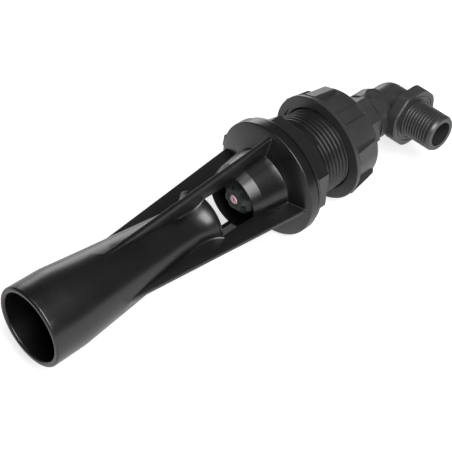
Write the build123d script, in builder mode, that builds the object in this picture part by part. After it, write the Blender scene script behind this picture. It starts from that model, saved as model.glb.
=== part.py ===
"""Tank agitator nozzle: a venturi mixing nozzle on a bulkhead fitting with an elbow inlet.

Sizes are in millimetres. X runs along the nozzle, from the tank side (-X) to the outside
(+X). X = 0 is the back face of the octagonal collar, which seats on the tank wall. The
elbow's inlet points along -Y, and +Z is up.
"""

import os
from math import cos, radians

from build123d import *

os.makedirs("parts", exist_ok=True)

# Clearances
push_gap = 0.15        # a spigot that is pushed home and stays
thread_gap = 0.05      # a screwed joint, crest to wall
nut_gap = 0.08         # the ring nut's running fit on its thread

# Threads, as plain walls at the crest
spigot_r = 22.75
spigot_pitch = 2.5
pipe_r = 10.48         # G 1/2
pipe_pitch = 1.81

# Lengths along the nozzle, from the flange's back towards the mouth
flange_back_x = -13.1
flange_edge_len = 6.0
flange_dish_len = 4.2
cup_len = 14.4
band_len = 6.0
window_len = 22.3
bell_len = 12.3
cone_len = 78.0
mouth_len = 20.0

flange_edge_x = flange_back_x - flange_edge_len
neck_x = flange_edge_x - flange_dish_len
band_x = neck_x - cup_len
lip_x = band_x - band_len
bell_x = lip_x - window_len
throat_x = bell_x - bell_len
cone_x = throat_x - cone_len
mouth_x = cone_x - mouth_len

# Venturi diffuser
mouth_r = 21.3
mouth_rim_r = 21.65
mouth_bore_r = 18.6
mouth_edge_r = 1.3
throat_r = 12.95
throat_wall = 2.4
bell_r = 17.0
bell_wall = 1.5
bell_flare = 4.2

# Guide fins, from the cone to the flange
fin_count = 4
fin_t = 2.4
fin_clock = 4.14
fin_start_len = 24.0
fin_front_x = cone_x + fin_start_len
fin_slope = 0.1035
fin_base_r = 13.5
fin_inner_r = 15.7
fin_edge_r = 0.6
fin_inner_edge_r = 0.3
fin_root_r = 0.4
bell_root_r = 1.1

# Cup and dished flange
cup_bore_r = 15.5
lip_r = 16.1
band_r = 17.9
neck_r = 19.9
neck_root_r = 0.8
flange_r = 32.7
flange_rim_r = 0.8
flange_chamfer = 0.8
tab_w = 7.2
tab_height = 1.4
tab_len = 4.8
tab_clock = 8.3

# Bulkhead body
boss_r = 16.0
boss_front_x = -32.0
socket_front_x = boss_front_x - push_gap
shoulder_step = 1.2
shoulder_r = flange_r - shoulder_step
collar_t = 10.8
collar_corner_r = 28.5
collar_clock = 24.5
collar_chamfer = 0.8
spigot_len = 39.2
spigot_chamfer = 1.2
groove_w = 2.4
groove_r = 21.3
passage_r = 7.15
nipple_r = 8.2
nipple_len = 5.3
nipple_bore_r = 4.6
funnel_len = 6.0
core_in_r = 15.8
core_out_r = 19.2
core_depth = 26.0
core_rib_t = 1.8
core_rib_count = 8

# Nozzle cap and the ceramic orifice it holds
cap_set_back = 1.0
cap_front_x = lip_x + cap_set_back
cap_r = 10.4
cap_face_r = 6.5
cap_cone_len = 3.7
cap_side_count = 8
cap_face_t = 3.2
cap_hole_r = 2.8
cap_skirt_gap = 0.4
disc_nose_r = 2.65
disc_proud = 0.3
disc_flange_t = 1.4
disc_hole_r = 0.9
disc_sink_r = 3.6
seal_hole_r = 4.0

# Ring nut
nut_len = 21.1
nut_stand_out = 0.2
nut_back_x = spigot_len + nut_stand_out
nut_front_x = nut_back_x - nut_len
nut_flange_r = 30.15
nut_flange_t = 2.2
nut_r = 27.6
nut_back_r = 26.3
nut_edge_r = 2.4
nut_bore_chamfer = 1.0
lug_count = 8
lug_height = 0.35
lug_r = nut_flange_r + lug_height
lug_drop = 2.2
lug_w = 6.8
lug_clock = 27.5
lug_back_gap = 1.9
lug_back_x = nut_back_x - lug_back_gap
lug_slope = 2.4

# Elbow
elbow_seal_t = 1.5
inlet_seat_x = spigot_len + elbow_seal_t
inlet_len = 18.2
inlet_bore_len = 20.0
elbow_seal_in_r = pipe_r + 0.3
elbow_seal_out_r = 12.9
hex_af = 26.0
hex_len = 14.5
hex_x = inlet_seat_x + hex_len
barrel_r = 13.8
barrel_len = 11.3
barrel_x = hex_x + barrel_len
barrel_edge_r = 3.0
bend_r = 11.1
bend_len = 9.6
bend_x = barrel_x + bend_len
arm_collar = 9.0
arm_collar_r = 11.7
wrench_in = 12.3
wrench_out = 18.6
wrench_corner_r = 17.7
wrench_round_r = 8.0
wrench_edge = 1.4
arm_end = 37.4
arm_bore_r = 7.15
pipe_lead = 1.4
pipe_lead_r = 9.6
pad_r = 4.2
pad_x = hex_x + 6.2
pad_height = 0.35
pad_top = barrel_r + pad_height

outline_plane = Plane.XY


def fin_outer_r(x):
    """Radius of a fin's outer edge at a place along the nozzle."""
    return fin_base_r + fin_slope * (x - mouth_x)


# 1. Venturi diffuser: the bell inlet, throat, cone, fins, cup and flange are one moulding
with BuildPart() as diffuser:
    with BuildSketch(outline_plane):
        with BuildLine():
            Polyline(
                (throat_x, 0),
                (mouth_x, 0),
                (mouth_x, mouth_rim_r),
                (cone_x, mouth_r),
                (throat_x, throat_r),
            )
            Bezier(
                (throat_x, throat_r),
                (bell_x - bell_flare, throat_r),
                (bell_x, bell_r),
            )
            Polyline((bell_x, bell_r), (bell_x, 0), (throat_x, 0))
        make_face()
    revolve(axis=Axis.X)

    with BuildSketch(outline_plane):
        with BuildLine():
            Polyline(
                (lip_x, cup_bore_r),
                (lip_x, lip_r),
                (band_x, band_r),
                (neck_x, neck_r),
                (flange_edge_x, flange_r),
                (flange_back_x - flange_chamfer, flange_r),
                (flange_back_x, flange_r - flange_chamfer),
                (flange_back_x, cup_bore_r),
                close=True,
            )
        make_face()
    revolve(axis=Axis.X)

    fin_planes = [
        outline_plane.rotated((fin_clock + 360 / fin_count * i, 0, 0)) for i in range(fin_count)
    ]
    with BuildSketch(*fin_planes):
        with BuildLine():
            Polyline(
                (fin_front_x, throat_r - throat_wall),
                (fin_front_x, fin_outer_r(fin_front_x) - fin_t / 2),
                (fin_front_x + fin_t, fin_outer_r(fin_front_x + fin_t)),
                (flange_edge_x - 0.5, fin_outer_r(flange_edge_x)),
                (flange_edge_x, fin_outer_r(flange_edge_x)),
                (flange_edge_x, neck_r),
                (neck_x, neck_r - 0.8),
                (lip_x + 0.6, fin_inner_r),
                (bell_x - 0.4, fin_inner_r),
                (bell_x - bell_flare, throat_r - throat_wall),
                close=True,
            )
        make_face()
    extrude(amount=fin_t / 2, both=True)

    with BuildSketch(outline_plane):
        with BuildLine():
            Polyline(
                (throat_x, 0),
                (mouth_x, 0),
                (mouth_x, mouth_bore_r),
                (cone_x, mouth_bore_r),
                (throat_x, throat_r - throat_wall),
            )
            Bezier(
                (throat_x, throat_r - throat_wall),
                (bell_x - bell_flare + bell_wall, throat_r - throat_wall),
                (bell_x, bell_r - bell_wall),
            )
            Polyline((bell_x, bell_r - bell_wall), (bell_x, 0), (throat_x, 0))
        make_face()
    revolve(axis=Axis.X, mode=Mode.SUBTRACT)

    with BuildSketch(Plane.YZ.offset(flange_back_x)):
        Circle(boss_r + push_gap)
    extrude(amount=socket_front_x - flange_back_x, mode=Mode.SUBTRACT)

    fillet(diffuser.edges().filter_by(GeomType.BSPLINE), bell_root_r)
    rings = diffuser.edges().filter_by(GeomType.CIRCLE)
    fillet(rings.filter_by_position(Axis.X, mouth_x - 0.01, mouth_x + 0.01), mouth_edge_r)
    rings = diffuser.edges().filter_by(GeomType.CIRCLE)
    fillet(rings.filter_by_position(Axis.X, neck_x - 0.01, neck_x + 0.01), neck_root_r)
    rings = diffuser.edges().filter_by(GeomType.CIRCLE)
    fillet(
        rings.filter_by_position(Axis.X, flange_edge_x - 0.01, flange_edge_x + 0.01),
        flange_rim_r,
    )
    straight = diffuser.edges().filter_by(GeomType.LINE)
    fillet(straight.filter_by(lambda edge: edge.length > cone_len + window_len), fin_edge_r)
    straight = diffuser.edges().filter_by(GeomType.LINE)
    fillet(
        straight.filter_by(lambda edge: abs(edge.length - window_len) < 0.5), fin_inner_edge_r
    )
    fin_roots = diffuser.edges().filter_by(GeomType.HYPERBOLA)
    fillet(fin_roots.filter_by(lambda edge: 9 < edge.length < cup_len), fin_root_r)

    with BuildSketch(Plane.YZ.offset(flange_back_x)):
        with PolarLocations(flange_r - tab_height, 1, start_angle=tab_clock):
            Rectangle(4 * tab_height, tab_w)
    extrude(amount=-tab_len)


# 2. Bulkhead body: boss, shoulder, octagonal collar and threaded spigot
with BuildPart() as bulkhead_body:
    with BuildSketch(outline_plane):
        with BuildLine():
            Polyline(
                (boss_front_x - nipple_len, nipple_bore_r),
                (boss_front_x - nipple_len, nipple_r - thread_gap),
                (boss_front_x, nipple_r - thread_gap),
                (boss_front_x, boss_r - 0.8),
                (boss_front_x + 0.8, boss_r),
                (flange_back_x, boss_r),
                (flange_back_x, shoulder_r - flange_chamfer),
                (flange_back_x + flange_chamfer, shoulder_r),
                (-collar_t, shoulder_r),
                (-collar_t, spigot_r),
                (0, spigot_r),
                (0, groove_r),
                (groove_w, groove_r),
                (groove_w + spigot_r - groove_r, spigot_r),
                (spigot_len - spigot_chamfer, spigot_r),
                (spigot_len, spigot_r - spigot_chamfer),
                (spigot_len, pipe_r + thread_gap),
                (spigot_len - inlet_bore_len, pipe_r + thread_gap),
                (spigot_len - inlet_bore_len, passage_r),
                (boss_front_x + funnel_len, passage_r),
                (boss_front_x, nipple_bore_r),
                close=True,
            )
        make_face()
    revolve(axis=Axis.X)

    with BuildSketch(Plane.YZ.offset(-collar_t)):
        RegularPolygon(collar_corner_r, 8, rotation=collar_clock)
        Circle(spigot_r - 2, mode=Mode.SUBTRACT)
    extrude(amount=collar_t)
    collar_rim = bulkhead_body.faces().filter_by(Axis.X).filter_by_position(
        Axis.X, -0.01, 0.01
    )
    collar_edges = collar_rim.edges().filter_by(GeomType.LINE)
    chamfer(collar_edges, collar_chamfer)

    with BuildSketch(Plane.YZ.offset(spigot_len)):
        Circle(core_out_r)
        Circle(core_in_r, mode=Mode.SUBTRACT)
        with PolarLocations((core_in_r + core_out_r) / 2, core_rib_count):
            Rectangle(2 * (core_out_r - core_in_r), core_rib_t, mode=Mode.SUBTRACT)
    extrude(amount=-core_depth, mode=Mode.SUBTRACT)


# 3. Ring nut, which clamps the tank wall against the collar
with BuildPart() as ring_nut:
    with BuildSketch(outline_plane):
        with BuildLine():
            Polyline(
                (nut_front_x, spigot_r),
                (nut_front_x, nut_flange_r - 0.4),
                (nut_front_x + 0.4, nut_flange_r),
                (nut_front_x + nut_flange_t, nut_flange_r),
                (nut_front_x + nut_flange_t, nut_r),
                (nut_back_x, nut_back_r),
                (nut_back_x, spigot_r),
                close=True,
            )
        make_face()
    revolve(axis=Axis.X)
    back_edge = ring_nut.edges().filter_by(GeomType.CIRCLE).filter_by_position(
        Axis.X, nut_back_x - 0.01, nut_back_x + 0.01
    )
    fillet(back_edge.sort_by(SortBy.RADIUS)[-1:], nut_edge_r)

    lug_planes = [
        outline_plane.rotated((lug_clock + 360 / lug_count * i, 0, 0)) for i in range(lug_count)
    ]
    with BuildSketch(*lug_planes):
        with BuildLine():
            Polyline(
                (nut_front_x + nut_flange_t - 0.5, spigot_r + 2),
                (nut_front_x + nut_flange_t - 0.5, nut_flange_r - 0.5),
                (nut_front_x + nut_flange_t, lug_r),
                (lug_back_x - lug_slope, lug_r - lug_drop),
                (lug_back_x, nut_back_r - 0.4),
                (lug_back_x, spigot_r + 2),
                close=True,
            )
        make_face()
    extrude(amount=lug_w / 2, both=True)

    with BuildSketch(Plane.YZ.offset(nut_front_x)):
        Circle(spigot_r + nut_gap)
    extrude(amount=nut_back_x - nut_front_x, mode=Mode.SUBTRACT)
    bore_edges = ring_nut.edges().filter_by(GeomType.CIRCLE).filter_by(
        lambda edge: abs(edge.radius - spigot_r - nut_gap) < 0.001
    )
    chamfer(bore_edges, nut_bore_chamfer)


# 4. Nozzle cap, screwed on the bulkhead body's nipple
cap_back_x = boss_front_x - cap_skirt_gap
seat_x = cap_front_x + cap_face_t
with BuildPart() as nozzle_cap:
    with BuildSketch(Plane.YZ.offset(cap_front_x)):
        RegularPolygon(cap_face_r, cap_side_count, rotation=180 / cap_side_count)
    with BuildSketch(Plane.YZ.offset(cap_front_x + cap_cone_len)):
        RegularPolygon(cap_r, cap_side_count, rotation=180 / cap_side_count)
    loft()
    with BuildSketch(Plane.YZ.offset(cap_front_x + cap_cone_len)):
        RegularPolygon(cap_r, cap_side_count, rotation=180 / cap_side_count)
    extrude(amount=cap_back_x - cap_front_x - cap_cone_len)
    with BuildSketch(Plane.YZ.offset(cap_back_x)):
        Circle(nipple_r)
    extrude(amount=seat_x - cap_back_x, mode=Mode.SUBTRACT)
    with BuildSketch(Plane.YZ.offset(cap_front_x)):
        Circle(cap_hole_r)
    extrude(amount=cap_face_t, mode=Mode.SUBTRACT)


# 5. Ceramic orifice disc, held behind the cap's face
disc_r = nipple_r - push_gap
disc_back_x = seat_x + disc_flange_t
with BuildPart() as orifice_disc:
    with BuildSketch(outline_plane):
        with BuildLine():
            Polyline(
                (cap_front_x - disc_proud, disc_hole_r),
                (cap_front_x - disc_proud, disc_nose_r),
                (seat_x, disc_nose_r),
                (seat_x, disc_r),
                (disc_back_x, disc_r),
                (disc_back_x, disc_sink_r),
                (seat_x - 0.6, disc_hole_r),
                close=True,
            )
        make_face()
    revolve(axis=Axis.X)


# 6. Flat seal between the disc and the nipple
with BuildPart() as orifice_seal:
    with BuildSketch(Plane.YZ.offset(disc_back_x)):
        Circle(disc_r)
        Circle(seal_hole_r, mode=Mode.SUBTRACT)
    extrude(amount=boss_front_x - nipple_len - disc_back_x)


# 7. Elbow: male thread, hexagon, barrel, bend, wrench flange and male inlet thread
with BuildPart() as elbow:
    with BuildSketch(Plane.YZ.offset(inlet_seat_x - inlet_len)):
        Circle(pipe_r)
    extrude(amount=inlet_len)
    chamfer(elbow.edges().sort_by(Axis.X)[0], pipe_lead / 2)
    with BuildSketch(Plane.YZ.offset(inlet_seat_x)):
        RegularPolygon(hex_af / 2 / cos(radians(30)), 6, rotation=30)
    extrude(amount=hex_x - inlet_seat_x)
    with BuildSketch(Plane.YZ.offset(hex_x)):
        Circle(barrel_r)
    extrude(amount=barrel_x - hex_x)
    fillet(elbow.edges().filter_by(GeomType.CIRCLE).sort_by(Axis.X)[-1], barrel_edge_r)
    with BuildSketch(Plane.YZ.offset(hex_x)):
        Circle(bend_r)
    extrude(amount=bend_x - hex_x)
    with Locations((bend_x, 0, 0)):
        Sphere(bend_r)
    with BuildSketch(Plane((bend_x, 0, 0), x_dir=(1, 0, 0), z_dir=(0, -1, 0))):
        Circle(bend_r)
    extrude(amount=wrench_out)
    with BuildSketch(Plane((bend_x, -arm_collar, 0), x_dir=(1, 0, 0), z_dir=(0, -1, 0))):
        Circle(arm_collar_r)
    extrude(amount=wrench_in - arm_collar)
    wrench_plane = Plane((bend_x, -wrench_in, 0), x_dir=(1, 0, 0), z_dir=(0, -1, 0))
    with BuildSketch(wrench_plane) as wrench_outline:
        RegularPolygon(wrench_corner_r, 8, rotation=22.5)
        fillet(wrench_outline.vertices(), wrench_round_r)
    extrude(amount=wrench_out - wrench_in)
    wrench_face = elbow.faces().sort_by(Axis.Y)[0]
    chamfer(wrench_face.outer_wire().edges(), wrench_edge / 2)
    with BuildSketch(Plane((bend_x, -wrench_out, 0), x_dir=(1, 0, 0), z_dir=(0, -1, 0))):
        Circle(pipe_r)
    extrude(amount=arm_end - wrench_out)
    arm_edge = elbow.edges().filter_by(GeomType.CIRCLE).sort_by(Axis.Y)[0]
    chamfer(arm_edge, pipe_lead, pipe_r - pipe_lead_r)
    with BuildSketch(Plane.XY.offset(pad_top)):
        with Locations((pad_x, 0)):
            Circle(pad_r)
    extrude(amount=-(pad_top - bend_r))

    with BuildSketch(Plane.YZ.offset(inlet_seat_x - inlet_len)):
        Circle(arm_bore_r)
    extrude(amount=bend_x - inlet_seat_x + inlet_len, mode=Mode.SUBTRACT)
    with Locations((bend_x, 0, 0)):
        Sphere(arm_bore_r, mode=Mode.SUBTRACT)
    with BuildSketch(Plane((bend_x, 0, 0), x_dir=(1, 0, 0), z_dir=(0, -1, 0))):
        Circle(arm_bore_r)
    extrude(amount=arm_end, mode=Mode.SUBTRACT)


# 8. Flat seal between the spigot's end and the elbow's hexagon
with BuildPart() as elbow_seal:
    with BuildSketch(Plane.YZ.offset(spigot_len)):
        Circle(elbow_seal_out_r)
        Circle(elbow_seal_in_r, mode=Mode.SUBTRACT)
    extrude(amount=inlet_seat_x - spigot_len)


diffuser.part.label = "diffuser"
bulkhead_body.part.label = "bulkhead_body"
ring_nut.part.label = "ring_nut"
nozzle_cap.part.label = "nozzle_cap"
orifice_disc.part.label = "orifice_disc"
orifice_seal.part.label = "orifice_seal"
elbow.part.label = "elbow"
elbow_seal.part.label = "elbow_seal"

export_step(diffuser.part, "parts/diffuser.step")
export_step(bulkhead_body.part, "parts/bulkhead_body.step")
export_step(ring_nut.part, "parts/ring_nut.step")
export_step(nozzle_cap.part, "parts/nozzle_cap.step")
export_step(orifice_disc.part, "parts/orifice_disc.step")
export_step(orifice_seal.part, "parts/orifice_seal.step")
export_step(elbow.part, "parts/elbow.step")
export_step(elbow_seal.part, "parts/elbow_seal.step")
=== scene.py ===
"""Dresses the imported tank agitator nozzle: threads, moulding detail, finishes, light and camera.

Lengths are in metres in the row's frame: X = 0 at the collar's back face, +X to the outside,
the elbow's inlet along -Y and +Z up.
"""

import logging
import math
from dataclasses import dataclass, field
from enum import Enum

import bpy
from mathutils import Matrix, Vector


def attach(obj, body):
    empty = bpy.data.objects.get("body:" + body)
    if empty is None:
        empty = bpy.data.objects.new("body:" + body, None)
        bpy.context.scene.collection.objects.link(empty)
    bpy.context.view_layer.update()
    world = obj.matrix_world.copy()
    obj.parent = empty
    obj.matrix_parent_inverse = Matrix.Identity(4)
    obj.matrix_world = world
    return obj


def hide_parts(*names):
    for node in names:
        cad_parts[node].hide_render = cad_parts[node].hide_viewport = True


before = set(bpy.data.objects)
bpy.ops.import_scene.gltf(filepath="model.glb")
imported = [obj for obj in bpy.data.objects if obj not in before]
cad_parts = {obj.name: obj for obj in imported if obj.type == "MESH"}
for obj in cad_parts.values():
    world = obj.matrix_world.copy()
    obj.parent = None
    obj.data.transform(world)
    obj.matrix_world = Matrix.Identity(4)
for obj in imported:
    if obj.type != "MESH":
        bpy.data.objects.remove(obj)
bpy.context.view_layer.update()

log = logging.getLogger("nozzle")
MM = 0.001
ORIGIN = Vector((0, 0, 0))
WELD_GAP = 0.000002
SEAM_GAP = 0.000001
RING_SLACK = 0.01 * MM


class Axis(Enum):
    """The direction that a thread or a groove lies along."""

    X = (1, 0, 0)
    MINUS_Y = (0, -1, 0)
    Z = (0, 0, 1)

    def turn(self) -> Matrix:
        """Returns the turn that takes +Z to this direction."""
        return Vector((0, 0, 1)).rotation_difference(Vector(self.value)).to_matrix().to_4x4()


class Side(Enum):
    """Which side of a wall a thread is cut from."""

    OUTSIDE = 1
    INSIDE = -1


def deselect_everything() -> None:
    """Leaves object mode with nothing selected."""
    if bpy.context.mode != "OBJECT":
        bpy.ops.object.mode_set(mode="OBJECT")
    bpy.ops.object.select_all(action="DESELECT")


def take_up(obj: bpy.types.Object) -> None:
    """Makes one object the only selected and active one.

    Args:
        obj: The object that the next operators work on.
    """
    deselect_everything()
    obj.select_set(True)
    bpy.context.view_layer.objects.active = obj


def settle(obj: bpy.types.Object) -> None:
    """Moves an object's place into its mesh, so that it sits at the origin.

    Args:
        obj: A mesh object placed by its own location, rotation and scale.
    """
    take_up(obj)
    bpy.ops.object.transform_apply(location=True, rotation=True, scale=True)


def apply_modifier(obj: bpy.types.Object, modifier: bpy.types.Modifier) -> None:
    """Applies one modifier to its object.

    Args:
        obj: The object that carries the modifier.
        modifier: The modifier to apply.
    """
    take_up(obj)
    bpy.ops.object.modifier_apply(modifier=modifier.name)


def copy_of_node(node: str, name: str) -> bpy.types.Object:
    """Copies a CAD node's mesh into a new object and welds its loose triangles.

    Args:
        node: The CAD node's name.
        name: The new piece's name.

    Returns:
        The new object, welded, at the origin.
    """
    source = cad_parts[node]
    mesh = source.data.copy()
    mesh.materials.clear()
    piece = bpy.data.objects.new(name, mesh)
    bpy.context.scene.collection.objects.link(piece)
    take_up(piece)
    if mesh.has_custom_normals:
        bpy.ops.mesh.customdata_custom_splitnormals_clear()
    bpy.ops.object.mode_set(mode="EDIT")
    bpy.ops.mesh.select_all(action="SELECT")
    bpy.ops.mesh.remove_doubles(threshold=WELD_GAP)
    bpy.ops.object.mode_set(mode="OBJECT")
    return piece


def round_shading(obj: bpy.types.Object, degrees: float = 28.0) -> None:
    """Shades an object smooth with sharp edges above an angle.

    Args:
        obj: The object to shade.
        degrees: Edges that turn more than this stay sharp.
    """
    take_up(obj)
    bpy.ops.object.shade_smooth_by_angle(angle=math.radians(degrees))


def crease_rings(obj: bpy.types.Object, places: tuple[float, ...]) -> None:
    """Marks the edges of whole rings about X as sharp.

    Args:
        obj: The object whose edges are marked.
        places: The X of each ring.
    """
    vertices = obj.data.vertices
    for edge in obj.data.edges:
        ends = [vertices[i].co.x for i in edge.vertices]
        if any(all(abs(x - place) < RING_SLACK for x in ends) for place in places):
            edge.use_edge_sharp = True


def cut(piece: bpy.types.Object, tool: bpy.types.Object) -> None:
    """Cuts a tool's shape out of a piece and removes the tool.

    Args:
        piece: The closed mesh that is cut.
        tool: The closed mesh that cuts it.
    """
    boolean = piece.modifiers.new("cut", "BOOLEAN")
    boolean.operation = "DIFFERENCE"
    boolean.solver = "EXACT"
    boolean.object = tool
    apply_modifier(piece, boolean)
    mesh = tool.data
    bpy.data.objects.remove(tool)
    bpy.data.meshes.remove(mesh)


@dataclass
class WoundTool:
    """A closed cutting tool made by winding an outline round an axis.

    Attributes:
        outline: The corners, each as a length along the axis and a radius.
        sweep: The angle that it winds through, in degrees.
        rise: How far it moves along the axis while it winds.
        steps: Faces in one turn.
        clock: Where it starts, in degrees about the axis.
    """

    outline: list[tuple[float, float]]
    sweep: float = 360.0
    rise: float = 0.0
    steps: int = 96
    clock: float = 0.0

    def build(self, axis: Axis, centre: Vector) -> bpy.types.Object:
        """Winds the outline and closes its ends.

        Args:
            axis: The direction that it winds about.
            centre: The point on the axis from which lengths are counted.

        Returns:
            The tool, at the origin.
        """
        deselect_everything()
        bpy.ops.mesh.primitive_circle_add(vertices=len(self.outline), fill_type="NOTHING")
        tool = bpy.context.object
        for vertex, (along, radius) in zip(tool.data.vertices, self.outline):
            vertex.co = (radius, 0.0, along)
        full = self.rise == 0.0 and self.sweep >= 360.0
        screw = tool.modifiers.new("wind", "SCREW")
        screw.axis = "Z"
        screw.angle = math.radians(self.sweep)
        screw.screw_offset = self.rise
        screw.steps = max(3, int(self.steps * self.sweep / 360.0))
        screw.render_steps = screw.steps
        screw.use_merge_vertices = full
        screw.merge_threshold = SEAM_GAP
        apply_modifier(tool, screw)
        bpy.ops.object.mode_set(mode="EDIT")
        if not full:
            bpy.ops.mesh.select_mode(type="EDGE")
            bpy.ops.mesh.select_all(action="DESELECT")
            bpy.ops.mesh.select_non_manifold()
            bpy.ops.mesh.edge_face_add()
        bpy.ops.mesh.select_all(action="SELECT")
        bpy.ops.mesh.normals_make_consistent(inside=False)
        bpy.ops.object.mode_set(mode="OBJECT")
        spin = Matrix.Rotation(math.radians(self.clock), 4, "Z")
        tool.data.transform(Matrix.Translation(centre) @ axis.turn() @ spin)
        return tool


@dataclass
class Thread:
    """A thread, cut as one winding groove with a rounded crest on each side.

    Attributes:
        wall_r: Radius of the plain wall that it is cut into.
        pitch: Distance from crest to crest.
        depth: Radial depth of the groove.
        root_flat: Width of the groove's floor.
        round_step: Length of each of the two short slopes that round a crest's edge.
        start: Where the groove starts along its axis.
        end: Where the groove ends along its axis.
        side: Which side of the wall it is cut from.
        steps: Faces in one turn.
        flank: The flanks' slope, in degrees from the axis.
        round_slopes: The gentle and the steep slope at a crest's edge, in degrees.
        overshoot: How far the groove's mouth stands past the wall.
    """

    wall_r: float
    pitch: float
    depth: float
    root_flat: float
    round_step: float
    start: float
    end: float
    side: Side = Side.OUTSIDE
    steps: int = 64
    flank: float = 60.0
    round_slopes: tuple[float, float] = (20.0, 40.0)
    overshoot: float = 0.15 * MM

    def outline(self) -> list[tuple[float, float]]:
        """Returns the groove's outline: floor, flanks and rounded crest edges."""
        gentle, steep = (math.radians(slope) for slope in self.round_slopes)
        half = self.root_flat / 2
        right = [(half, self.depth)]
        drop = self.round_step * (math.sin(gentle) + math.sin(steep))
        half += (self.depth - drop) / math.tan(math.radians(self.flank))
        right.append((half, drop))
        half += self.round_step * math.cos(steep)
        right.append((half, self.round_step * math.sin(gentle)))
        half += self.round_step * math.cos(gentle)
        right.append((half, 0.0))
        right.append((half, -self.overshoot))
        shape = [(-along, down) for along, down in reversed(right)] + right
        sign = self.side.value
        return [(self.start + along, self.wall_r - sign * down) for along, down in shape]

    def build(self, axis: Axis, centre: Vector) -> bpy.types.Object:
        """Builds the winding groove.

        Args:
            axis: The direction that the thread runs along.
            centre: A point on the axis from which start and end are counted.

        Returns:
            The tool, at the origin.
        """
        turns = (self.end - self.start) / self.pitch
        tool = WoundTool(self.outline(), 360.0 * turns, self.pitch * turns, self.steps)
        return tool.build(axis, centre)


class NodeTree:
    """Adds and links nodes in one material or group, with little to write for each."""

    def __init__(self, tree: bpy.types.NodeTree) -> None:
        """Takes the tree that the nodes go into."""
        self.tree = tree

    def add(self, kind: str, **settings: object) -> bpy.types.Node:
        """Adds a node and sets its properties.

        Args:
            kind: The node's type name.
            **settings: Properties of the node.

        Returns:
            The new node.
        """
        node = self.tree.nodes.new(kind)
        for key, value in settings.items():
            setattr(node, key, value)
        return node

    def join(self, start: bpy.types.NodeSocket, end: bpy.types.NodeSocket) -> None:
        """Links one socket to another."""
        self.tree.links.new(start, end)


class GrainGroup:
    """A node group with the fine grain, slow ripple and shade drift of moulded plastic."""

    name = "moulded grain"
    inputs = ("Grain Scale", "Ripple")
    outputs = ("Height", "Shade", "Gloss")
    grain_detail = 3.0
    grain_roughness = 0.6
    ripple_scale = 90.0
    ripple_detail = 1.0
    drift_scale = 38.0
    drift_detail = 4.0
    drift_range = (0.3, 0.7)
    gloss_share = 0.5

    @classmethod
    def get(cls) -> bpy.types.NodeTree:
        """Returns the group, built on the first call."""
        tree = bpy.data.node_groups.get(cls.name)
        return tree if tree else cls.build()

    @classmethod
    def build(cls) -> bpy.types.NodeTree:
        """Builds the group.

        Returns:
            The new node group, with Height, Shade and Gloss outputs.
        """
        tree = bpy.data.node_groups.new(cls.name, "ShaderNodeTree")
        for name in cls.inputs:
            tree.interface.new_socket(name, in_out="INPUT", socket_type="NodeSocketFloat")
        for name in cls.outputs:
            tree.interface.new_socket(name, in_out="OUTPUT", socket_type="NodeSocketFloat")
        nodes = NodeTree(tree)
        inside = nodes.add("NodeGroupInput")
        out = nodes.add("NodeGroupOutput")
        grain = cls.noise(nodes, cls.grain_detail)
        grain.inputs["Roughness"].default_value = cls.grain_roughness
        nodes.join(inside.outputs["Grain Scale"], grain.inputs["Scale"])
        ripple = cls.noise(nodes, cls.ripple_detail)
        ripple.inputs["Scale"].default_value = cls.ripple_scale
        height = nodes.add("ShaderNodeMath", operation="MULTIPLY_ADD")
        nodes.join(ripple.outputs["Fac"], height.inputs[0])
        nodes.join(inside.outputs["Ripple"], height.inputs[1])
        nodes.join(grain.outputs["Fac"], height.inputs[2])
        nodes.join(height.outputs[0], out.inputs["Height"])
        drift = cls.noise(nodes, cls.drift_detail)
        drift.inputs["Scale"].default_value = cls.drift_scale
        shade = nodes.add("ShaderNodeMapRange")
        shade.inputs["From Min"].default_value = cls.drift_range[0]
        shade.inputs["From Max"].default_value = cls.drift_range[1]
        nodes.join(drift.outputs["Fac"], shade.inputs["Value"])
        nodes.join(shade.outputs["Result"], out.inputs["Shade"])
        gloss = nodes.add("ShaderNodeMix", data_type="FLOAT")
        gloss.inputs["Factor"].default_value = cls.gloss_share
        nodes.join(shade.outputs["Result"], gloss.inputs["A"])
        nodes.join(grain.outputs["Fac"], gloss.inputs["B"])
        nodes.join(gloss.outputs["Result"], out.inputs["Gloss"])
        return tree

    @staticmethod
    def noise(nodes: NodeTree, detail: float) -> bpy.types.Node:
        """Adds a noise that sits still on the object.

        Args:
            nodes: The tree that it is added to.
            detail: How many finer layers it has.

        Returns:
            The noise node.
        """
        where = nodes.add("ShaderNodeTexCoord")
        noise = nodes.add("ShaderNodeTexNoise", noise_dimensions="3D")
        noise.inputs["Detail"].default_value = detail
        nodes.join(where.outputs["Object"], noise.inputs["Vector"])
        return noise


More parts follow.
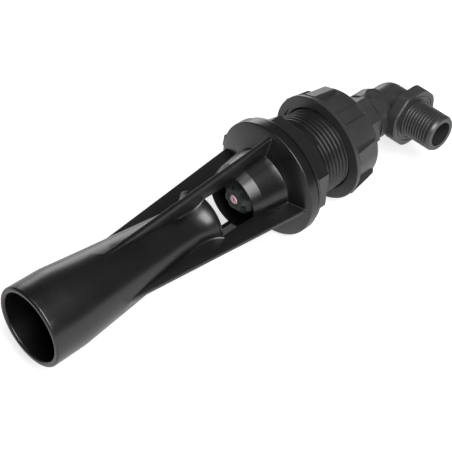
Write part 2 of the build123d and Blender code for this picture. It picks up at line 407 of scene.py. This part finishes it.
@dataclass(frozen=True)
class MouldedPlastic:
    """A moulded plastic with grain, ripple and a slow drift of shade and gloss.

    Attributes:
        name: The material's name.
        dark: The darker shade.
        light: The lighter shade.
        gloss_from: Roughness where it is glossiest.
        gloss_to: Roughness where it is dullest.
        grain: Grain cells in a metre.
        depth: Height of the grain.
        ripple: Share of the slow ripple in the height.
        specular: Strength of the surface reflection.
    """

    name: str
    dark: tuple[float, float, float]
    light: tuple[float, float, float]
    gloss_from: float
    gloss_to: float
    grain: float
    depth: float
    ripple: float
    specular: float = 0.5

    def material(self) -> bpy.types.Material:
        """Returns the material, built on the first call."""
        made = bpy.data.materials.get(self.name)
        return made if made else self.build()

    def build(self) -> bpy.types.Material:
        """Builds the material.

        Returns:
            The new material.
        """
        material = bpy.data.materials.new(self.name)
        material.use_nodes = True
        material.diffuse_color = (*self.dark, 1.0)
        nodes = NodeTree(material.node_tree)
        material.node_tree.nodes.clear()
        out = nodes.add("ShaderNodeOutputMaterial")
        skin = nodes.add("ShaderNodeBsdfPrincipled")
        skin.inputs["Specular IOR Level"].default_value = self.specular
        nodes.join(skin.outputs["BSDF"], out.inputs["Surface"])
        grain = nodes.add("ShaderNodeGroup", node_tree=GrainGroup.get())
        grain.inputs["Grain Scale"].default_value = self.grain
        grain.inputs["Ripple"].default_value = self.ripple
        colour = nodes.add("ShaderNodeMix", data_type="RGBA")
        colour.inputs["A"].default_value = (*self.dark, 1.0)
        colour.inputs["B"].default_value = (*self.light, 1.0)
        nodes.join(grain.outputs["Shade"], colour.inputs["Factor"])
        nodes.join(colour.outputs["Result"], skin.inputs["Base Color"])
        rough = nodes.add("ShaderNodeMapRange")
        rough.inputs["To Min"].default_value = self.gloss_from
        rough.inputs["To Max"].default_value = self.gloss_to
        nodes.join(grain.outputs["Gloss"], rough.inputs["Value"])
        nodes.join(rough.outputs["Result"], skin.inputs["Roughness"])
        bump = nodes.add("ShaderNodeBump")
        bump.inputs["Strength"].default_value = 1.0
        bump.inputs["Distance"].default_value = self.depth
        nodes.join(grain.outputs["Height"], bump.inputs["Height"])
        nodes.join(bump.outputs["Normal"], skin.inputs["Normal"])
        return material


SATIN_BLACK = MouldedPlastic(
    "satin black moulding",
    dark=(0.0038, 0.0038, 0.0040),
    light=(0.0062, 0.0062, 0.0065),
    gloss_from=0.23,
    gloss_to=0.34,
    grain=2600.0,
    depth=0.000012,
    ripple=1.2,
    specular=0.7,
)
MATT_BLACK = MouldedPlastic(
    "matt black body",
    dark=(0.0090, 0.0090, 0.0094),
    light=(0.0150, 0.0150, 0.0156),
    gloss_from=0.23,
    gloss_to=0.36,
    grain=2100.0,
    depth=0.00002,
    ripple=0.8,
    specular=0.75,
)
GREYED_BLACK = MouldedPlastic(
    "greyed black nut and elbow",
    dark=(0.028, 0.028, 0.029),
    light=(0.042, 0.042, 0.0435),
    gloss_from=0.26,
    gloss_to=0.40,
    grain=2100.0,
    depth=0.00002,
    ripple=0.8,
    specular=0.75,
)
CAP_GREEN = MouldedPlastic(
    "grey-green cap",
    dark=(0.028, 0.034, 0.031),
    light=(0.045, 0.053, 0.048),
    gloss_from=0.32,
    gloss_to=0.46,
    grain=2400.0,
    depth=0.00003,
    ripple=0.6,
)
PINK_CERAMIC = MouldedPlastic(
    "pink ceramic",
    dark=(0.80, 0.48, 0.55),
    light=(0.88, 0.58, 0.64),
    gloss_from=0.30,
    gloss_to=0.42,
    grain=3200.0,
    depth=0.00001,
    ripple=0.3,
)
SEAL_RUBBER = MouldedPlastic(
    "black seal rubber",
    dark=(0.008, 0.008, 0.008),
    light=(0.013, 0.013, 0.013),
    gloss_from=0.6,
    gloss_to=0.8,
    grain=3000.0,
    depth=0.00003,
    ripple=0.2,
    specular=0.35,
)


def prism(corners: list[tuple[float, float]], low: float, high: float) -> bpy.types.Object:
    """Makes a closed prism along X.

    Args:
        corners: The corners' Y and Z.
        low: The X of one end.
        high: The X of the other end.

    Returns:
        The prism, at the origin.
    """
    deselect_everything()
    bpy.ops.mesh.primitive_cylinder_add(vertices=len(corners))
    tool = bpy.context.object
    for i, vertex in enumerate(tool.data.vertices):
        y, z = corners[i // 2]
        vertex.co = (high if i % 2 else low, y, z)
    bpy.ops.object.mode_set(mode="EDIT")
    bpy.ops.mesh.select_all(action="SELECT")
    bpy.ops.mesh.normals_make_consistent(inside=False)
    bpy.ops.object.mode_set(mode="OBJECT")
    return tool


def square_ring(
    inner: float, outer: float, low: float, high: float
) -> list[tuple[float, float]]:
    """Returns the outline of a square ring between two radii and two lengths."""
    return [(low, inner), (high, inner), (high, outer), (low, outer)]


def polar(radius: float, degrees: float) -> tuple[float, float]:
    """Returns the Y and Z of a point about the main axis."""
    return radius * math.cos(math.radians(degrees)), radius * math.sin(math.radians(degrees))


def hand_over(
    piece: bpy.types.Object, finish: MouldedPlastic, node: str, body: str
) -> None:
    """Shades and dresses a finished piece, and lets it stand for its CAD node.

    Args:
        piece: The finished piece.
        finish: Its finish.
        node: The CAD node that it replaces.
        body: The body that it rides on.
    """
    round_shading(piece)
    piece.data.materials.clear()
    piece.data.materials.append(finish.material())
    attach(piece, body)
    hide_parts(node)


@dataclass
class Diffuser:
    """The venturi diffuser, with the fine line round its bell's rim.

    Attributes:
        line: Outline of the rim's line.
        line_steps: Faces in a whole turn of the line.
        fin_count: How many fins there are.
        fin_clock: Where the first fin stands, in degrees from +Y towards +Z.
        fin_gap: The angle that the line leaves free on each side of a fin.
        creases: The X of the rings that stay crisp.
    """

    line: list[tuple[float, float]] = field(
        default_factory=lambda: [
            (-67.25 * MM, 16.24 * MM),
            (-66.69 * MM, 15.96 * MM),
            (-66.80 * MM, 16.58 * MM),
        ]
    )
    line_steps: int = 128
    fin_count: int = 4
    fin_clock: float = 4.14
    fin_gap: float = 13.0
    creases: tuple[float, ...] = (-43.7 * MM, -37.7 * MM)

    def build(self) -> bpy.types.Object:
        """Cuts the rim's line between the fins and dresses the piece."""
        piece = copy_of_node("diffuser", "moulded_diffuser")
        share = 360.0 / self.fin_count
        for i in range(self.fin_count):
            clock = self.fin_clock + share * i + self.fin_gap
            sweep = share - 2 * self.fin_gap
            tool = WoundTool(self.line, sweep, steps=self.line_steps, clock=clock)
            cut(piece, tool.build(Axis.X, ORIGIN))
        hand_over(piece, SATIN_BLACK, "diffuser", "fitting")
        crease_rings(piece, self.creases)
        return piece


@dataclass
class BulkheadBody:
    """The bulkhead body, with its large thread cut for real.

    Attributes:
        thread: The spigot's thread.
        joint_line: Outline of the dark line between shoulder and flange.
        line_steps: Faces in one turn of the line.
    """

    thread: Thread = field(
        default_factory=lambda: Thread(
            wall_r=22.75 * MM,
            pitch=2.5 * MM,
            depth=1.35 * MM,
            root_flat=0.25 * MM,
            round_step=0.2 * MM,
            start=1.2 * MM,
            end=41.0 * MM,
        )
    )
    joint_line: list[tuple[float, float]] = field(
        default_factory=lambda: [
            (-13.6 * MM, 32.2 * MM),
            (-13.6 * MM, 30.0 * MM),
            (-12.5 * MM, 30.3 * MM),
            (-12.0 * MM, 32.2 * MM),
        ]
    )
    line_steps: int = 144

    def build(self) -> bpy.types.Object:
        """Cuts the thread and the line and dresses the piece."""
        piece = copy_of_node("bulkhead_body", "threaded_body")
        cut(piece, self.thread.build(Axis.X, ORIGIN))
        cut(piece, WoundTool(self.joint_line, steps=self.line_steps).build(Axis.X, ORIGIN))
        hand_over(piece, MATT_BLACK, "bulkhead_body", "fitting")
        return piece


@dataclass
class RingNut:
    """The ring nut, with its inner thread and the moulding marks on its front.

    Attributes:
        thread: The inner thread.
        front: The X of its front face.
        recess: Corners of the small three-cornered recess, as radius and angle.
        recess_depth: Depth of the recess.
        recess_lead: How far the recess's cutting prism stands out of the front.
        slit: Outline of the short curved slit.
        slit_clock: Where the slit starts, in degrees from +Y towards +Z.
        slit_sweep: The angle that the slit covers.
        slit_steps: Faces in a whole turn of the slit.
    """

    thread: Thread = field(
        default_factory=lambda: Thread(
            wall_r=22.83 * MM,
            pitch=2.5 * MM,
            depth=1.2 * MM,
            root_flat=0.3 * MM,
            round_step=0.15 * MM,
            start=15.9 * MM,
            end=42.0 * MM,
            side=Side.INSIDE,
        )
    )
    front: float = 18.3 * MM
    recess: tuple[tuple[float, float], ...] = (
        (25.9 * MM, 34.0),
        (26.1 * MM, 17.0),
        (24.3 * MM, 23.0),
    )
    recess_depth: float = 0.9 * MM
    recess_lead: float = 0.5 * MM
    slit: list[tuple[float, float]] = field(
        default_factory=lambda: square_ring(25.2 * MM, 25.75 * MM, 17.9 * MM, 19.0 * MM)
    )
    slit_clock: float = 58.0
    slit_sweep: float = 24.0
    slit_steps: int = 144

    def build(self) -> bpy.types.Object:
        """Cuts the thread and the marks and dresses the piece."""
        piece = copy_of_node("ring_nut", "threaded_nut")
        cut(piece, self.thread.build(Axis.X, ORIGIN))
        corners = [polar(radius, degrees) for radius, degrees in self.recess]
        low = self.front - self.recess_lead
        cut(piece, prism(corners, low, self.front + self.recess_depth))
        slit = WoundTool(
            self.slit, self.slit_sweep, steps=self.slit_steps, clock=self.slit_clock
        )
        cut(piece, slit.build(Axis.X, ORIGIN))
        hand_over(piece, GREYED_BLACK, "ring_nut", "nut")
        return piece


@dataclass
class NozzleCap:
    """The nozzle cap, with a ring groove and grip pockets round its face.

    Attributes:
        front: The X of its face.
        groove: Outline of the groove round the ceramic.
        groove_steps: Faces in one turn of the groove.
        notch_r: The pockets' distance from the axis.
        notch_size: A pocket's size along X, outwards and round the axis.
        notch_count: How many pockets there are.
        notch_clock: Where the first pocket stands, in degrees from +Y towards +Z.
    """

    front: float = -42.7 * MM
    groove: list[tuple[float, float]] = field(
        default_factory=lambda: square_ring(3.7 * MM, 4.1 * MM, -43.2 * MM, -42.3 * MM)
    )
    groove_steps: int = 48
    notch_r: float = 7.3 * MM
    notch_size: tuple[float, float, float] = (3.6 * MM, 3.4 * MM, 2.6 * MM)
    notch_count: int = 6
    notch_clock: float = 15.0

    def build(self) -> bpy.types.Object:
        """Cuts the groove and the notches and dresses the piece."""
        piece = copy_of_node("nozzle_cap", "notched_cap")
        cut(piece, WoundTool(self.groove, steps=self.groove_steps).build(Axis.X, ORIGIN))
        for i in range(self.notch_count):
            degrees = self.notch_clock + 360.0 / self.notch_count * i
            y, z = polar(self.notch_r, degrees)
            deselect_everything()
            bpy.ops.mesh.primitive_cube_add(
                size=1.0, location=(self.front, y, z), rotation=(math.radians(degrees), 0, 0)
            )
            notch = bpy.context.object
            notch.scale = self.notch_size
            settle(notch)
            cut(piece, notch)
        hand_over(piece, CAP_GREEN, "nozzle_cap", "fitting")
        return piece


@dataclass
class CeramicInsert:
    """The ceramic insert in the cap, with the bevel round its nose.

    Attributes:
        bevel: Outline of what the bevel takes off.
        bevel_steps: Faces in one turn of the bevel.
    """

    bevel: list[tuple[float, float]] = field(
        default_factory=lambda: [
            (-43.4 * MM, 1.9 * MM),
            (-42.1 * MM, 2.8 * MM),
            (-43.4 * MM, 2.8 * MM),
        ]
    )
    bevel_steps: int = 48

    def build(self) -> bpy.types.Object:
        """Cuts the bevel and dresses the piece."""
        piece = copy_of_node("orifice_disc", "ceramic_insert")
        cut(piece, WoundTool(self.bevel, steps=self.bevel_steps).build(Axis.X, ORIGIN))
        hand_over(piece, PINK_CERAMIC, "orifice_disc", "fitting")
        return piece


@dataclass
class Elbow:
    """The elbow, with the inlet thread and its fine rings cut for real.

    Attributes:
        thread: The inlet's thread, counted from the main axis.
        centre: Where the arm meets the main axis.
        face: The wrench flange's face, as a distance from the main axis.
        face_rings: Inner and outer radius of each ring on that face.
        face_ring_depth: Depth of those rings.
        neck_ring: Outline of the groove behind the wrench flange.
        ring_steps: Faces in one turn of a ring on the arm.
        pad_centre: The middle of the round pad's top.
        pad_ring: Inner and outer radius of the pad's ring.
        pad_ring_depth: Depth of the pad's ring.
        pad_ring_steps: Faces in one turn of the pad's ring.
        ring_lead: How far the pad ring's tool stands past the pad.
    """

    thread: Thread = field(
        default_factory=lambda: Thread(
            wall_r=10.48 * MM,
            pitch=1.81 * MM,
            depth=1.1 * MM,
            root_flat=0.15 * MM,
            round_step=0.13 * MM,
            start=18.81 * MM,
            end=35.2 * MM,
            steps=56,
        )
    )
    centre: Vector = field(default_factory=lambda: Vector((76.1 * MM, 0, 0)))
    face: float = 18.6 * MM
    face_rings: tuple[tuple[float, float], ...] = (
        (11.3 * MM, 11.9 * MM),
        (13.2 * MM, 13.8 * MM),
    )
    face_ring_depth: float = 0.4 * MM
    neck_ring: list[tuple[float, float]] = field(
        default_factory=lambda: [
            (11.2 * MM, 12.5 * MM),
            (11.4 * MM, 10.7 * MM),
            (12.3 * MM, 10.7 * MM),
            (12.3 * MM, 12.5 * MM),
        ]
    )
    ring_steps: int = 72
    pad_centre: Vector = field(default_factory=lambda: Vector((61.4 * MM, 0, 14.15 * MM)))
    pad_ring: tuple[float, float] = (2.7 * MM, 3.4 * MM)
    pad_ring_depth: float = 0.25 * MM
    pad_ring_steps: int = 48
    ring_lead: float = 0.3 * MM

    def build(self) -> bpy.types.Object:
        """Cuts the thread and the rings and dresses the piece."""
        piece = copy_of_node("elbow", "threaded_elbow")
        cut(piece, self.thread.build(Axis.MINUS_Y, self.centre))
        low = self.face - self.face_ring_depth
        high = self.face + self.face_ring_depth
        for inner, outer in self.face_rings:
            ring = WoundTool(square_ring(inner, outer, low, high), steps=self.ring_steps)
            cut(piece, ring.build(Axis.MINUS_Y, self.centre))
        neck = WoundTool(self.neck_ring, steps=self.ring_steps)
        cut(piece, neck.build(Axis.MINUS_Y, self.centre))
        outline = square_ring(*self.pad_ring, -self.pad_ring_depth, self.ring_lead)
        pad = WoundTool(outline, steps=self.pad_ring_steps)
        cut(piece, pad.build(Axis.Z, self.pad_centre))
        hand_over(piece, GREYED_BLACK, "elbow", "fitting")
        return piece


@dataclass
class Seal:
    """A flat rubber seal, whose own shape shows.

    Attributes:
        node: The CAD node that it is.
    """

    node: str

    def build(self) -> bpy.types.Object:
        """Dresses the seal."""
        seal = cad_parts[self.node]
        seal.data.materials.clear()
        seal.data.materials.append(SEAL_RUBBER.material())
        return seal


@dataclass(frozen=True)
class Glow:
    """A strength that depends on what sees the surface.

    Attributes:
        base: The strength for the light that falls on the object.
        camera: What is added where the camera sees it, straight or through glass.
        glossy: What is added in a reflection.
    """

    base: float
    camera: float
    glossy: float

    def build(self, nodes: NodeTree) -> bpy.types.NodeSocket:
        """Builds the strength.

        Args:
            nodes: The tree that it is built in.

        Returns:
            The strength's socket.
        """
        path = nodes.add("ShaderNodeLightPath")
        direct = nodes.add("ShaderNodeMath", operation="MAXIMUM")
        nodes.join(path.outputs["Is Camera Ray"], direct.inputs[0])
        nodes.join(path.outputs["Is Transmission Ray"], direct.inputs[1])
        shown = nodes.add("ShaderNodeMath", operation="MULTIPLY_ADD")
        shown.inputs[1].default_value = self.camera
        shown.inputs[2].default_value = self.base
        nodes.join(direct.outputs[0], shown.inputs[0])
        total = nodes.add("ShaderNodeMath", operation="MULTIPLY_ADD")
        total.inputs[1].default_value = self.glossy
        nodes.join(path.outputs["Is Glossy Ray"], total.inputs[0])
        nodes.join(shown.outputs[0], total.inputs[2])
        return total.outputs[0]


@dataclass(frozen=True)
class SoftLamp:
    """An oblong area lamp that points at the object.

    Attributes:
        name: The lamp's name.
        place: Where it hangs.
        size: Its width and height.
        power: Its power in watts.
        target: Where it points.
    """

    name: str
    place: tuple[float, float, float]
    size: tuple[float, float]
    power: float
    target: tuple[float, float, float] = (-0.04, 0, 0)

    def build(self) -> None:
        """Hangs the lamp."""
        data = bpy.data.lights.new(self.name, "AREA")
        data.shape = "RECTANGLE"
        data.size, data.size_y = self.size
        data.energy = self.power
        lamp = bpy.data.objects.new(self.name, data)
        lamp.location = self.place
        aim = Vector(self.target) - Vector(self.place)
        lamp.rotation_euler = aim.to_track_quat("-Z", "Y").to_euler()
        bpy.context.scene.collection.objects.link(lamp)


@dataclass
class Studio:
    """Floor, world, lamps and camera.

    Attributes:
        floor_z: Height of the floor.
        floor_size: Side of the floor.
        floor_shade: Brightness of the floor's own colour.
        floor_rough: The floor's roughness.
        floor_specular: Strength of the floor's reflection.
        floor_glow: The floor's own light.
        sky_glow: The world's light.
        lamps: The soft lamps.
        camera_at: The camera's place.
        camera_turn: The camera's turn in degrees about X, Y and Z.
        lens: Focal length in millimetres.
        sensor: Width of the camera's sensor in millimetres.
        near: Distance from which the camera sees.
    """

    floor_z: float = -0.0328
    floor_size: float = 6.0
    floor_shade: float = 0.82
    floor_rough: float = 0.9
    floor_specular: float = 0.1
    floor_glow: Glow = Glow(base=0.0, camera=0.65, glossy=0.1)
    sky_glow: Glow = Glow(base=0.085, camera=0.915, glossy=0.02)
    lamps: tuple[SoftLamp, ...] = (
        SoftLamp("key", (-0.30, -0.75, 0.95), (0.60, 1.10), 18.0),
        SoftLamp("top", (-0.10, 0.10, 1.20), (0.50, 0.50), 1.8),
        SoftLamp("back", (0.60, 1.00, 0.16), (0.60, 0.60), 3.0),
    )
    camera_at: tuple[float, float, float] = (-0.467767, -0.423238, 0.540254)
    camera_turn: tuple[float, float, float] = (47.0138, -1.1889, -43.6824)
    lens: float = 125.52
    sensor: float = 36.0
    near: float = 0.01

    def build(self) -> None:
        """Sets up the whole studio."""
        self.build_floor()
        self.build_world()
        for lamp in self.lamps:
            lamp.build()
        self.build_camera()

    def build_floor(self) -> None:
        """Lays a pale floor that the camera sees as white, with the object's shadow on it."""
        deselect_everything()
        bpy.ops.mesh.primitive_plane_add(size=self.floor_size, location=(0, 0, self.floor_z))
        floor = bpy.context.object
        floor.name = "studio_floor"
        settle(floor)
        material = bpy.data.materials.new("studio floor")
        material.use_nodes = True
        nodes = NodeTree(material.node_tree)
        skin = material.node_tree.nodes["Principled BSDF"]
        skin.inputs["Base Color"].default_value = (*[self.floor_shade] * 3, 1)
        skin.inputs["Roughness"].default_value = self.floor_rough
        skin.inputs["Specular IOR Level"].default_value = self.floor_specular
        skin.inputs["Emission Color"].default_value = (1, 1, 1, 1)
        nodes.join(self.floor_glow.build(nodes), skin.inputs["Emission Strength"])
        floor.data.materials.append(material)

    def build_world(self) -> None:
        """Lights the scene weakly from all round, behind a white background."""
        world = bpy.data.worlds.new("studio")
        world.use_nodes = True
        bpy.context.scene.world = world
        nodes = NodeTree(world.node_tree)
        back = world.node_tree.nodes["Background"]
        back.inputs["Color"].default_value = (1, 1, 1, 1)
        nodes.join(self.sky_glow.build(nodes), back.inputs["Strength"])

    def build_camera(self) -> None:
        """Sets the camera at the photograph's angle."""
        data = bpy.data.cameras.new("camera")
        data.lens = self.lens
        data.sensor_width = self.sensor
        data.clip_start = self.near
        camera = bpy.data.objects.new("camera", data)
        camera.location = self.camera_at
        camera.rotation_euler = tuple(math.radians(angle) for angle in self.camera_turn)
        bpy.context.scene.collection.objects.link(camera)
        bpy.context.scene.camera = camera
        bpy.context.scene.view_settings.view_transform = "Standard"


def main() -> None:
    """Builds the pieces in order and reports each one."""
    logging.basicConfig(level=logging.INFO, format="%(name)s: %(message)s")
    parts = (
        Diffuser(),
        BulkheadBody(),
        RingNut(),
        NozzleCap(),
        CeramicInsert(),
        Elbow(),
        Seal("orifice_seal"),
        Seal("elbow_seal"),
    )
    for part in parts:
        piece = part.build()
        log.info("%s has %d faces", piece.name, len(piece.data.polygons))
    Studio().build()


if __name__ == "__main__":
    main()
